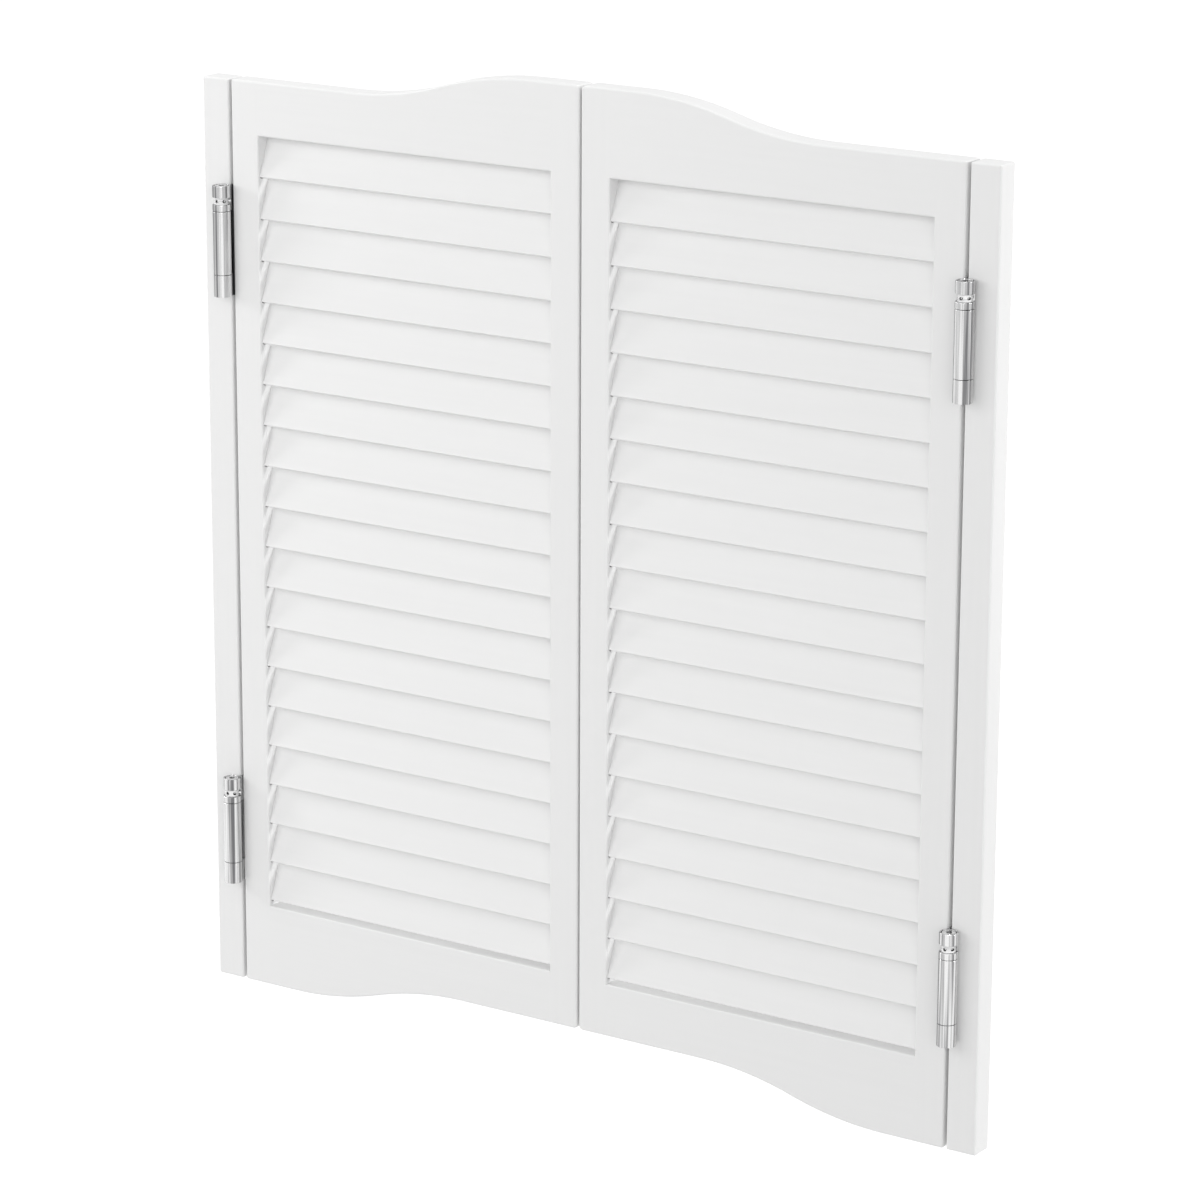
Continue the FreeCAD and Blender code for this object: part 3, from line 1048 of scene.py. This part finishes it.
@dataclass
class SpringHinge:
    """A double-action spring hinge: two barrels joined by a middle leaf.

    The left upper hinge is made in place, and the others are copies of it. Levels are
    above the foot of a hinge.
    """

    gap: float = -0.4728
    feet: dict[Level, float] = field(
        default_factory=lambda: {Level.UPPER: 0.8205, Level.LOWER: 0.1230})
    height: float = 0.127
    sides: int = 72
    barrel_offset: float = 0.0055
    barrel_depth: float = 0.0253
    barrel_radius: float = 0.0104
    bore_radius: float = 0.00845
    rim: float = 0.0008
    gap_half: float = 0.002
    leaf_thickness: float = 0.0010
    leaf_reach: float = 0.0128
    leaf_neck: float = 0.0047
    leaf_rim: float = 0.0003
    leaf_flats: int = 2
    screw: Screw = Screw()
    screw_sink: float = 0.0005
    screw_across: float = 0.003
    screw_levels: Point = (0.0215, 0.0635, 0.1055)
    tube: Pair = (0.0253, 0.0977)
    bottom_knuckle: float = 0.025
    foot_rim: float = 0.00019
    foot_hollow: float = 0.0006
    pivot_margin: float = 0.0042
    pivot_head: float = 0.0004
    top_knuckle: float = 0.098
    window: Pair = (0.1055, 0.1135)
    window_reach: float = 132.5
    collar_radius: float = 0.0084
    collar_rim: float = 0.0003
    crown: float = 0.1265
    neck_height: float = 0.003
    neck_radius: float = 0.0077
    socket_sides: int = 6
    socket_radius: float = 0.0034
    socket_span: Pair = (-0.004, 0.002)
    core_radius: float = 0.0039
    core_half: float = 0.0024
    core_room: Pair = (0.0004, -0.0002)
    core_sides: int = 50
    holes: int = 6
    hole_radius: float = 0.0020
    hole_span: Pair = (0.0041, 0.010)
    pin_level: float = 0.1095
    pin_hole: int = 2
    pin_radius: float = 0.00183
    pin_rim: float = 0.0005
    pin_span: Pair = (0.00395, 0.0108)
    pin_sides: int = 30

    @property
    def middle(self) -> Point:
        """A point on the upright line that each hinge is symmetric about."""
        return (self.gap, 0, self.at(0))

    @property
    def front_axis(self) -> Pair:
        """X and Y of the front barrel's axis."""
        return (self.gap - self.barrel_offset, -self.barrel_depth)

    def at(self, level: float) -> float:
        """Z of a level of the hinge that is made first."""
        return self.feet[Level.UPPER] + level

    def bar(self, name: str, radius: float, low: float, high: float,
            sides: Optional[int] = None, **settings: object) -> Piece:
        """Add an upright cylinder on the front axis.

        Args:
            name: The piece's name.
            radius: Its radius.
            low: Level of its foot.
            high: Level of its head.
            sides: Faces round it, if not as many as the barrel has.
            **settings: Other settings of the operator that adds it.

        Returns:
            The cylinder.
        """
        return primitive(name, bpy.ops.mesh.primitive_cylinder_add,
                         vertices=sides or self.sides, radius=radius, depth=high - low,
                         location=(*self.front_axis, self.at((low + high) / 2)), **settings)

    def leaf(self, name: str, x: float, scores: Pair,
             sides: Sequence[int], outside: bool) -> Piece:
        """Make a leaf's plate with the necks that reach to its barrels.

        Args:
            name: The piece's name.
            x: X of its lower face.
            scores: The two levels at which the knuckles change.
            sides: -1 for a neck towards the front, 1 for one towards the back.
            outside: Whether the necks are outside the two levels or between them.

        Returns:
            The plate.
        """
        plate = cuboid(name, (x, -self.leaf_reach, self.at(0)),
                       (x + self.leaf_thickness, self.leaf_reach, self.at(self.height)))
        low, high = (self.at(level) for level in scores)
        score(plate, (low, high))
        for side in sides:
            pick_faces(plate, lambda centre, normal: normal.y * side > FACING
                       and (low < centre.z < high) is not outside)
            extrude((0, self.leaf_neck * side, 0))
            leave_edit()
        round_edges(plate, self.leaf_rim, self.leaf_flats)
        return plate

    def screw_places(self) -> list[Point]:
        """The middles of the heads of the jamb leaf's screws."""
        x = self.gap - self.gap_half + self.screw_sink
        return [(x, self.screw_across, self.at(level)) for level in self.screw_levels]

    def jamb_leaf(self) -> Piece:
        """Make the jamb leaf: a plate with the middle tube of the front barrel.

        Returns:
            The leaf.
        """
        plate = self.leaf("left_upper_jamb_leaf_steel", self.gap - self.gap_half, self.tube,
                          (-1,), False)
        cut(plate, [self.screw.hole(place) for place in self.screw_places()])
        smooth(plate)
        tube = ease_steel(self.bar("tube", self.barrel_radius, *self.tube), self.rim)
        return gather([plate, tube], plate.name)

    def bottom_end(self) -> Piece:
        """Make the bottom knuckle with the pivot's head set in its foot.

        Returns:
            The knuckle.
        """
        knuckle = self.bar("bottom_end", self.barrel_radius, 0, self.bottom_knuckle)
        pick_faces(knuckle, lambda centre, normal: normal.z < -FACING)
        bpy.ops.mesh.inset(thickness=self.barrel_radius - self.bore_radius)
        extrude((0, 0, self.foot_hollow))
        bpy.ops.mesh.inset(thickness=self.pivot_margin)
        extrude((0, 0, -self.pivot_head))
        leave_edit()
        return ease_steel(knuckle, self.foot_rim, self.leaf_flats)

    def top_end(self) -> Piece:
        """Make the top knuckle: a wall round the collar with a window in it.

        Returns:
            The knuckle.
        """
        knuckle = self.bar("top_end", self.barrel_radius, self.top_knuckle, self.window[0],
                           end_fill_type="NOTHING", rotation=(0, 0, math.pi / self.sides))
        low, high = (self.at(level) for level in self.window)
        pick_edges(knuckle, lambda a, b: min(a.z, b.z) > low - TOUCHING)
        for rise in (high - low, self.at(self.height) - high):
            bpy.ops.mesh.extrude_edges_move(TRANSFORM_OT_translate={"value": (0, 0, rise)})
        leave_edit()

        def in_window(centre: Vector, normal: Vector) -> bool:
            """Whether a face of the wall is cut away."""
            away = math.degrees(abs(math.atan2(normal.x, -normal.y)))
            return low < centre.z < high and away < self.window_reach

        pick_faces(knuckle, in_window)
        bpy.ops.mesh.delete(type="FACE")
        leave_edit()
        apply_modifier(knuckle, "SOLIDIFY", thickness=self.barrel_radius - self.bore_radius,
                       offset=-1)
        return ease_steel(knuckle, self.rim)

    def middle_leaf(self) -> Piece:
        """Make the leaf between the barrels, with a knuckle at each corner.

        Returns:
            The leaf.
        """
        plate = self.leaf("left_upper_middle_leaf_steel", self.gap - self.leaf_thickness / 2,
                          (self.bottom_knuckle, self.top_knuckle), (-1, 1), True)
        smooth(plate)
        front = [self.bottom_end(), self.top_end()]
        rear = [turned(part, part.name, self.middle) for part in front]
        return gather([plate, *front, *rear], plate.name)

    def collar(self) -> Piece:
        """Make the tension collar with its key socket and pin holes.

        Returns:
            The collar.
        """
        collar = self.bar("left_upper_front_collar_steel", self.collar_radius,
                          self.top_knuckle, self.crown - self.neck_height)
        pick_faces(collar, lambda centre, normal: normal.z > FACING)
        bpy.ops.mesh.inset(thickness=self.collar_radius - self.neck_radius)
        extrude((0, 0, self.neck_height))
        leave_edit()
        round_edges(collar, self.collar_rim)
        low, high = (self.crown + level for level in self.socket_span)
        wider, higher = self.core_room
        half = self.core_half + higher
        cut(collar, [
            self.bar("socket", self.socket_radius, low, high, self.socket_sides),
            self.bar("core", self.core_radius + wider, self.pin_level - half,
                     self.pin_level + half, self.core_sides),
            *(self.rod("pin_hole", hole, self.hole_span, self.hole_radius)
              for hole in range(self.holes))])
        smooth(collar, CURVED)
        return collar

    def core(self) -> Piece:
        """Make the length of spindle that a collar's pin holes end on, near black as painted
        shade deep in the holes.
        """
        return self.bar("left_upper_front_core_steel", self.core_radius,
                        self.pin_level - self.core_half, self.pin_level + self.core_half)

    def rod(self, name: str, hole: int, span: Pair, radius: float) -> Piece:
        """Add a round bar that points out from the front axis through a pin hole.

        Args:
            name: The piece's name.
            hole: The hole, counted anticlockwise from the one at the front.
            span: How far from the axis it begins and ends.
            radius: Its radius.

        Returns:
            The bar.
        """
        angle = math.radians(-90 + 360 / self.holes * hole)
        (x, y), reach = self.front_axis, sum(span) / 2
        place = (x + reach * math.cos(angle), y + reach * math.sin(angle),
                 self.at(self.pin_level))
        return primitive(name, bpy.ops.mesh.primitive_cylinder_add, vertices=self.pin_sides,
                         radius=radius, depth=span[1] - span[0], location=place,
                         rotation=(0, math.radians(90), angle))

    def place(self, piece: Piece, finish: Material, slot: str,
              body: str, node: Optional[str]) -> None:
        """Put a finished piece on all four hinges.

        Args:
            piece: The piece of the left upper hinge.
            finish: Its material.
            slot: The record's material slot; not used.
            body: The body that it rides on, with {side} and {level} for its own.
            node: The name of the solid it stands for, after its side and level.
        """
        drop = self.feet[Level.LOWER] - self.feet[Level.UPPER]
        lower = copy_of(piece, piece.name.replace("upper", "lower"),
                        bpy.ops.transform.translate, value=(0, 0, drop))
        for level, left in ((Level.UPPER, piece), (Level.LOWER, lower)):
            right = mirrored(left, left.name.replace("left", "right"))
            for side, steel in ((Side.LEFT, left), (Side.RIGHT, right)):
                fit(steel, body.format(side=side.value, level=level.value), finish,
                    f"{side.value}_{level.value}_{node}" if node else None)

    def build(self, finishes: Finishes) -> None:
        """Make the four hinges.

        Args:
            finishes: The materials.
        """
        jamb = self.jamb_leaf()
        screws = gather([self.screw.make(place) for place in self.screw_places()],
                        "left_upper_jamb_leaf_screws")
        door, door_screws = (
            turned(piece, piece.name.replace("jamb", "door"), self.middle)
            for piece in (jamb, screws))
        middle, collar = self.middle_leaf(), self.collar()
        pin = ease_steel(self.rod("left_upper_front_pin_steel", self.pin_hole,
                                  self.pin_span, self.pin_radius), self.pin_rim)
        # The near-black core paints the shade inside the pin holes.
        tensioner = ((collar, finishes.turned, "collar"), (pin, finishes.turned, "pin"),
                     (self.core(), finishes.hole_shade_black, None))
        brushed_and_reflections, plain = finishes.brushed_and_reflections, finishes.screw
        for piece, finish, body, node in (
                (jamb, brushed_and_reflections, "hanging_strips", "jamb_leaf"),
                (door, brushed_and_reflections, "{side}_door", "door_leaf"),
                (middle, brushed_and_reflections, "{side}_links", "middle_leaf"),
                (screws, plain, "hanging_strips", None),
                (door_screws, plain, "{side}_door", None)):
            self.place(piece, finish, "hinge_steel", body, node)
        for barrel in Barrel:
            for part, finish, label in tensioner:
                steel = part
                if barrel is Barrel.REAR:
                    steel = turned(part, part.name.replace("front", "rear"), self.middle)
                self.place(steel, finish, "collar_steel",
                           f"{{side}}_{{level}}_{barrel.value}_tension",
                           f"{barrel.value}_{label}" if label else None)


# ---------------------------------------------------------------- the studio
@dataclass
class Studio:
    """Floor, light and camera."""

    floor_level: float = -0.45
    floor_size: float = 90
    floor_tone: float = 0.62
    seen_tone: float = 0.36
    seen_glow: float = 0.72
    fill: float = 0.56
    camera_place: Point = (2.69597, -4.02382, 1.85363)
    camera_turn: Point = (1.30448, -0.003846, 0.588165)
    lens: float = 137.35
    sensor: float = 36

    @staticmethod
    def show(nodes: Nodes, kind: str, lighting: Node, seen: Node) -> None:
        """Keep what lights the doors apart from what the camera sees.

        Args:
            nodes: The nodes to finish.
            kind: The type of their output node.
            lighting: The shader for diffuse and shadow rays.
            seen: The shader for rays from the camera, reflections and refractions.
        """
        path = nodes.add("LightPath")
        bounced = nodes.add("Math", operation="MAXIMUM")
        direct = nodes.add("Math", operation="MAXIMUM")
        mix = nodes.add("MixShader")
        out = nodes.add(kind)
        nodes.wire((path, "Is Glossy Ray", bounced, 0),
                   (path, "Is Transmission Ray", bounced, 1),
                   (path, "Is Camera Ray", direct, 0), (bounced, 0, direct, 1),
                   (direct, 0, mix, 0), (lighting, 0, mix, 1), (seen, 0, mix, 2),
                   (mix, 0, out, "Surface"))

    def floor(self) -> None:
        """Lay a wide pale floor that keeps the doors' shadow."""
        floor = primitive("studio_floor", bpy.ops.mesh.primitive_plane_add,
                          size=self.floor_size, location=(0, 0, self.floor_level))
        material, nodes = new_material("studio_floor")
        matt = nodes.add("BsdfDiffuse", Color=grey(self.floor_tone))
        shade = nodes.add("BsdfDiffuse", Color=grey(self.seen_tone))
        glow = nodes.add("Emission", Color=grey(1), Strength=self.seen_glow)
        white = nodes.add("AddShader")
        nodes.wire((shade, 0, white, 0), (glow, 0, white, 1))
        self.show(nodes, "OutputMaterial", matt, white)
        floor.data.materials.append(material)

    def surroundings(self) -> None:
        """Set a white surround that fills the shadows softly."""
        world = bpy.data.worlds.new("studio")
        bpy.context.scene.world = world
        world.use_nodes = True
        nodes = Nodes(world.node_tree)
        fill = nodes.add("Background", Color=grey(1), Strength=self.fill)
        white = nodes.add("Background", Color=grey(1), Strength=1.0)
        self.show(nodes, "OutputWorld", fill, white)

    @staticmethod
    def lamp(name: str, kind: str, towards: Vector, strength: float,
             place: Point = (0, 0, 0), **settings: float) -> None:
        """Add a lamp.

        Args:
            name: The lamp's name.
            kind: SUN or AREA.
            towards: Direction from what it lights to the lamp.
            strength: A sun's strength or a softbox's power.
            place: Where it stands.
            **settings: Other properties of a lamp of its kind.
        """
        data = bpy.data.lights.new(name, kind)
        data.energy = strength
        for setting, value in settings.items():
            setattr(data, setting, value)
        lamp = bpy.data.objects.new(name, data)
        lamp.location = place
        lamp.rotation_euler = towards.to_track_quat("Z", "Y").to_euler()
        bpy.context.scene.collection.objects.link(lamp)

    def sun(self, name: str, towards: Point, strength: float, softness: float) -> None:
        """Add a lamp with parallel light that looks some degrees wide."""
        self.lamp(name, "SUN", Vector(towards), strength, angle=math.radians(softness))

    def softbox(self, name: str, place: Point, aim: Point, power: float, size: float) -> None:
        """Add a square lamp that faces a point."""
        self.lamp(name, "AREA", Vector(place) - Vector(aim), power, place, size=size)

    def lamps(self) -> None:
        """Set soft lights before and behind the doors, and harder ones beside and above."""
        self.softbox("key", (-1.41, -3.03, 1.90), (0.25, 0, 0.76), power=27.5, size=2.2)
        self.softbox("left", (-2.86, -0.80, 1.45), (-0.25, 0, 0.75), power=17, size=0.6)
        self.softbox("rear", (0.90, 3.10, 0.45), (0, 0, 0.50), power=22, size=2.0)
        self.sun("side", (0.60, -0.79, 0.10), strength=0.90, softness=50)
        self.sun("right", (0.97, 0.15, 0.20), strength=0.90, softness=4)
        self.sun("top", (0.05, 0.02, 1.00), strength=1.02, softness=6)

    def camera(self) -> None:
        """Set the camera before the right-hand side of the doors."""
        data = bpy.data.cameras.new("camera")
        data.lens = self.lens
        data.sensor_width = self.sensor
        camera = bpy.data.objects.new("camera", data)
        camera.location = self.camera_place
        camera.rotation_euler = self.camera_turn
        bpy.context.scene.collection.objects.link(camera)
        bpy.context.scene.camera = camera

    def build(self) -> None:
        """Set up the whole studio."""
        bpy.context.scene.view_settings.view_transform = "Standard"
        self.floor()
        self.surroundings()
        self.lamps()
        self.camera()


def main() -> None:
    """Build the doors and the studio."""
    logging.basicConfig(level=logging.INFO, format="%(name)s: %(message)s")
    finishes = Finishes()
    HangingStrip().build(finishes)
    LouvredDoor().build(finishes)
    SpringHinge().build(finishes)
    Studio().build()


if __name__ == "__main__":
    main()
